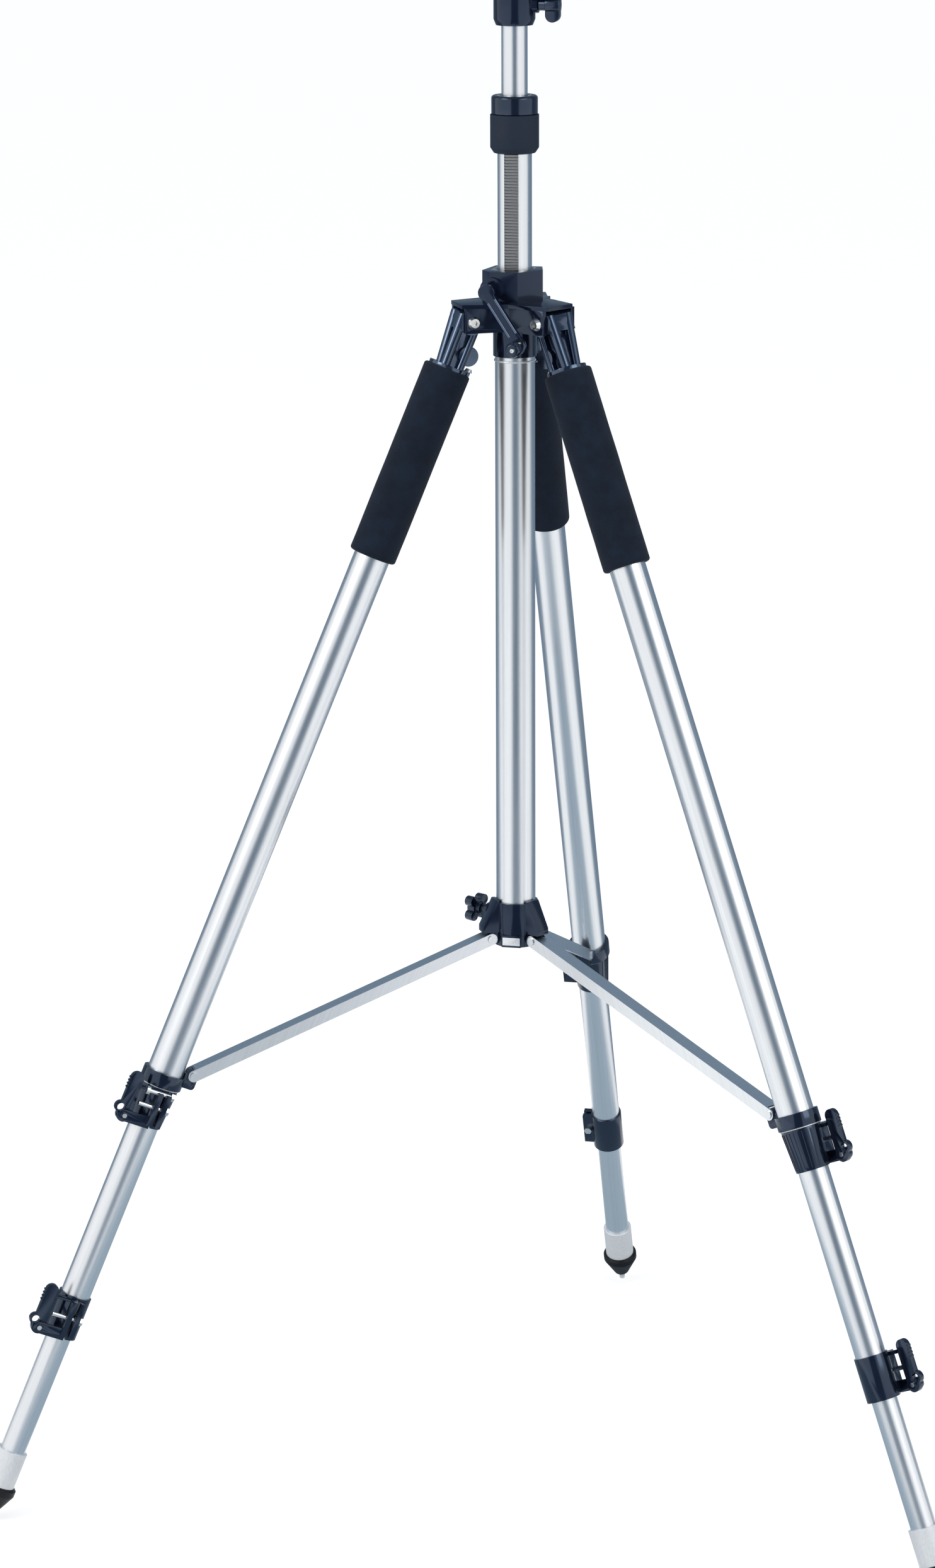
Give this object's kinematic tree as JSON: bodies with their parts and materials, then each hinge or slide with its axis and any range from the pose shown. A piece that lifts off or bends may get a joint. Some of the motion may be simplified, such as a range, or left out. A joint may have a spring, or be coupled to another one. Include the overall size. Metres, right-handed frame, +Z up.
{
  "type": "elevating tripod",
  "caption": "Elevating tripod with a cranked rack column, a braced fold and telescopic legs with flip-lever clamps, spiked feet and a flat head with a threaded stud.",
  "frame": {"origin": "on the ground, under the column's axis, midway between the three spikes", "axes": "+Z up along the column; +Y towards the back leg; the rack, gear case and crank face -Y"},
  "size_m": [0.8486, 0.7392, 1.3586],
  "materials": {
    "black_casting": "glossy black with a blue cast, over cast metal",
    "black_moulding": "glossy black moulding",
    "matte_ring": "matte dark grey, finely textured for grip",
    "foam": "closed-cell foam, matte",
    "satin_aluminium": "satin anodised, drawn along its length",
    "steel": "bright zinc plated",
    "white_ferrule": "bright, almost white",
    "foot_rubber": "moulded black rubber"
  },
  "bodies": {
    "frame": {"spider": "black_casting", "pivot_screws": "steel", "gear_case": "black_casting", "guide_tube": "satin_aluminium"},
    "brace_hub": {"hub": "black_casting"},
    "lock_knob": {"lock_knob": "black_moulding"},
    "column": {"column_tube": "satin_aluminium", "rack": "steel", "collar": "black_moulding"},
    "twist_ring": {"twist_ring": "matte_ring"},
    "extension": {"extension_tube": "satin_aluminium", "head_socket": "black_casting", "head_plate": "black_casting", "head_stud": "steel"},
    "head_knob": {"head_knob": "black_moulding"},
    "pinion": {"pinion": "steel"},
    "crank": {"crank": "black_casting"},
    "crank_knob": {"crank_knob": "black_moulding"},
    "left_brace": {"left_arm": "satin_aluminium"},
    "left_leg": {"left_leg_head": "black_casting", "left_upper_tube": "satin_aluminium", "left_grip": "foam", "left_upper_clamp": "black_moulding", "left_upper_bolts": "steel"},
    "left_upper_lever": {"left_upper_lever": "black_moulding"},
    "left_middle_stage": {"left_middle_tube": "satin_aluminium", "left_lower_clamp": "black_moulding", "left_lower_bolts": "steel"},
    "left_lower_lever": {"left_lower_lever": "black_moulding"},
    "left_foot_stage": {"left_lower_tube": "satin_aluminium", "left_ferrule": "white_ferrule", "left_rubber_foot": "foot_rubber"},
    "right_brace": {"right_arm": "satin_aluminium"},
    "right_leg": {"right_leg_head": "black_casting", "right_upper_tube": "satin_aluminium", "right_grip": "foam", "right_upper_clamp": "black_moulding", "right_upper_bolts": "steel"},
    "right_upper_lever": {"right_upper_lever": "black_moulding"},
    "right_middle_stage": {"right_middle_tube": "satin_aluminium", "right_lower_clamp": "black_moulding", "right_lower_bolts": "steel"},
    "right_lower_lever": {"right_lower_lever": "black_moulding"},
    "right_foot_stage": {"right_lower_tube": "satin_aluminium", "right_ferrule": "white_ferrule", "right_rubber_foot": "foot_rubber"},
    "back_brace": {"back_arm": "satin_aluminium"},
    "back_leg": {"back_leg_head": "black_casting", "back_upper_tube": "satin_aluminium", "back_grip": "foam", "back_upper_clamp": "black_moulding", "back_upper_bolts": "steel"},
    "back_upper_lever": {"back_upper_lever": "black_moulding"},
    "back_middle_stage": {"back_middle_tube": "satin_aluminium", "back_lower_clamp": "black_moulding", "back_lower_bolts": "steel"},
    "back_lower_lever": {"back_lower_lever": "black_moulding"},
    "back_foot_stage": {"back_lower_tube": "satin_aluminium", "back_ferrule": "white_ferrule", "back_rubber_foot": "foot_rubber"}
  },
  "joints": [
    {"name": "hub_slide", "type": "slide", "parent": "frame", "child": "brace_hub", "axis": [0, 0, 1], "range_m": [0, 0.13919]},
    {"name": "lock_knob_turn", "type": "hinge", "parent": "brace_hub", "child": "lock_knob", "pos_m": [-0.0407, 0.0235, 0.50142], "axis": [-0.866, 0.5, 0], "range_deg": [0, 360]},
    {"name": "column_slide", "type": "slide", "parent": "frame", "child": "column", "axis": [0, 0, 1], "range_m": [-0.09, 0.34]},
    {"name": "pinion_turn", "type": "hinge", "parent": "frame", "child": "pinion", "pos_m": [0, -0.0179, 1.05296], "axis": [1, 0, 0], "range_deg": [-1075.3, 4059.45]},
    {"name": "crank_turn", "type": "hinge", "parent": "frame", "child": "crank", "pos_m": [-0.0135, -0.04467, 1.05296], "axis": [0, 1, 0], "range_deg": [-645.58, 2436.07]},
    {"name": "crank_knob_spin", "type": "hinge", "parent": "crank", "child": "crank_knob", "pos_m": [0.01482, -0.06467, 1.00934], "axis": [0, 1, 0], "continuous": true},
    {"name": "twist_ring_turn", "type": "hinge", "parent": "column", "child": "twist_ring", "pos_m": [0, 0, 1.17955], "axis": [0, 0, 1], "range_deg": [0, 270]},
    {"name": "extension_slide", "type": "slide", "parent": "column", "child": "extension", "axis": [0, 0, 1], "range_m": [-0.055, 0.33]},
    {"name": "head_knob_turn", "type": "hinge", "parent": "extension", "child": "head_knob", "pos_m": [0.038, 0, 1.28756], "axis": [1, 0, 0], "range_deg": [0, 360]},
    {"name": "left_brace_fold", "type": "hinge", "parent": "brace_hub", "child": "left_brace", "pos_m": [-0.02079, -0.012, 0.48442], "axis": [0.5, -0.866, 0], "range_deg": [0, 67.29]},
    {"name": "left_leg_fold", "type": "hinge", "parent": "left_brace", "child": "left_leg", "pos_m": [-0.25259, -0.14583, 0.3854], "axis": [0.5, -0.866, 0], "range_deg": [-45.49, 0]},
    {"name": "left_middle_slide", "type": "slide", "parent": "left_leg", "child": "left_middle_stage", "axis": [-0.3426, -0.1978, -0.9184], "range_m": [-0.148, 0.37]},
    {"name": "left_foot_slide", "type": "slide", "parent": "left_middle_stage", "child": "left_foot_stage", "axis": [-0.3426, -0.1978, -0.9184], "range_m": [-0.1, 0.37]},
    {"name": "left_upper_lever_flip", "type": "hinge", "parent": "left_leg", "child": "left_upper_lever", "pos_m": [-0.30168, -0.18976, 0.36058], "axis": [0.5, -0.866, 0], "range_deg": [0, 105]},
    {"name": "left_lower_lever_flip", "type": "hinge", "parent": "left_middle_stage", "child": "left_lower_lever", "pos_m": [-0.36985, -0.22912, 0.17781], "axis": [0.5, -0.866, 0], "range_deg": [0, 105]},
    {"name": "right_brace_fold", "type": "hinge", "parent": "brace_hub", "child": "right_brace", "pos_m": [0.02079, -0.012, 0.48442], "axis": [0.5, 0.866, 0], "range_deg": [0, 67.29]},
    {"name": "right_leg_fold", "type": "hinge", "parent": "right_brace", "child": "right_leg", "pos_m": [0.25259, -0.14583, 0.3854], "axis": [0.5, 0.866, 0], "range_deg": [-45.49, 0]},
    {"name": "right_middle_slide", "type": "slide", "parent": "right_leg", "child": "right_middle_stage", "axis": [0.3426, -0.1978, -0.9184], "range_m": [-0.148, 0.37]},
    {"name": "right_foot_slide", "type": "slide", "parent": "right_middle_stage", "child": "right_foot_stage", "axis": [0.3426, -0.1978, -0.9184], "range_m": [-0.1, 0.37]},
    {"name": "right_upper_lever_flip", "type": "hinge", "parent": "right_leg", "child": "right_upper_lever", "pos_m": [0.31518, -0.16638, 0.36058], "axis": [0.5, 0.866, 0], "range_deg": [0, 105]},
    {"name": "right_lower_lever_flip", "type": "hinge", "parent": "right_middle_stage", "child": "right_lower_lever", "pos_m": [0.38335, -0.20574, 0.17781], "axis": [0.5, 0.866, 0], "range_deg": [0, 105]},
    {"name": "back_brace_fold", "type": "hinge", "parent": "brace_hub", "child": "back_brace", "pos_m": [0, 0.024, 0.48442], "axis": [-1, 0, 0], "range_deg": [0, 67.29]},
    {"name": "back_leg_fold", "type": "hinge", "parent": "back_brace", "child": "back_leg", "pos_m": [0, 0.29167, 0.3854], "axis": [-1, 0, 0], "range_deg": [-45.49, 0]},
    {"name": "back_middle_slide", "type": "slide", "parent": "back_leg", "child": "back_middle_stage", "axis": [0, 0.3955, -0.9184], "range_m": [-0.148, 0.37]},
    {"name": "back_foot_slide", "type": "slide", "parent": "back_middle_stage", "child": "back_foot_stage", "axis": [0, 0.3955, -0.9184], "range_m": [-0.1, 0.37]},
    {"name": "back_upper_lever_flip", "type": "hinge", "parent": "back_leg", "child": "back_upper_lever", "pos_m": [-0.0135, 0.35615, 0.36058], "axis": [-1, 0, 0], "range_deg": [0, 105]},
    {"name": "back_lower_lever_flip", "type": "hinge", "parent": "back_middle_stage", "child": "back_lower_lever", "pos_m": [-0.0135, 0.43486, 0.17781], "axis": [-1, 0, 0], "range_deg": [0, 105]}
  ],
  "couplings": [
    {"joint": "pinion_turn", "follows": "column_slide", "rad_per_m": 208.33},
    {"joint": "crank_turn", "follows": "column_slide", "rad_per_m": 125},
    {"joint": "left_brace_fold", "follows": "hub_slide", "rad_per_m": 8.4357},
    {"joint": "left_leg_fold", "follows": "hub_slide", "rad_per_m": -5.7021},
    {"joint": "right_brace_fold", "follows": "hub_slide", "rad_per_m": 8.4357},
    {"joint": "right_leg_fold", "follows": "hub_slide", "rad_per_m": -5.7021},
    {"joint": "back_brace_fold", "follows": "hub_slide", "rad_per_m": 8.4357},
    {"joint": "back_leg_fold", "follows": "hub_slide", "rad_per_m": -5.7021}
  ]
}
